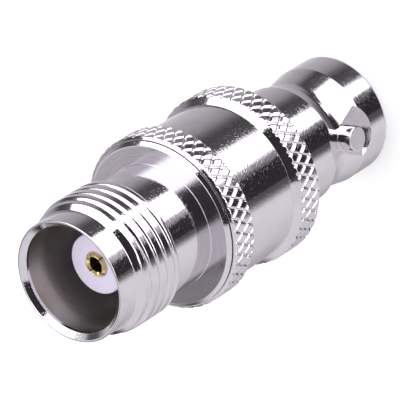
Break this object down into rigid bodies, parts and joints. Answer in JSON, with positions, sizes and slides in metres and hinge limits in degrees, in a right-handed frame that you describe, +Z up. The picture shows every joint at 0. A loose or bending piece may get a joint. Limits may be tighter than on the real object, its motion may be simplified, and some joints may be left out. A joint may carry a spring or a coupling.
{
  "type": "coaxial adapter",
  "caption": "Straight between-series coaxial adapter, female threaded jack to female bayonet jack, nickel-plated, with diamond-knurled grips and a gold-plated centre contact",
  "frame": {"origin": "centre of the bayonet end's rim, where the adapter stands on its end", "axes": "+Z up the adapter's axis, from the bayonet end to the threaded end; +X through one bayonet lug"},
  "size_m": [0.014, 0.014, 0.0336],
  "materials": {
    "nickel_shell": "bright nickel plate over turned brass, with fine turning lines",
    "white_insulator": "smooth white fluoropolymer, slightly waxy",
    "gold_contact": "bright gold plate"
  },
  "bodies": {
    "root": {"threaded_jack_shell": "nickel_shell", "bayonet_jack_shell": "nickel_shell", "threaded_side_insulator": "white_insulator", "bayonet_side_insulator": "white_insulator", "center_contact": "gold_contact"}
  },
  "joints": []
}
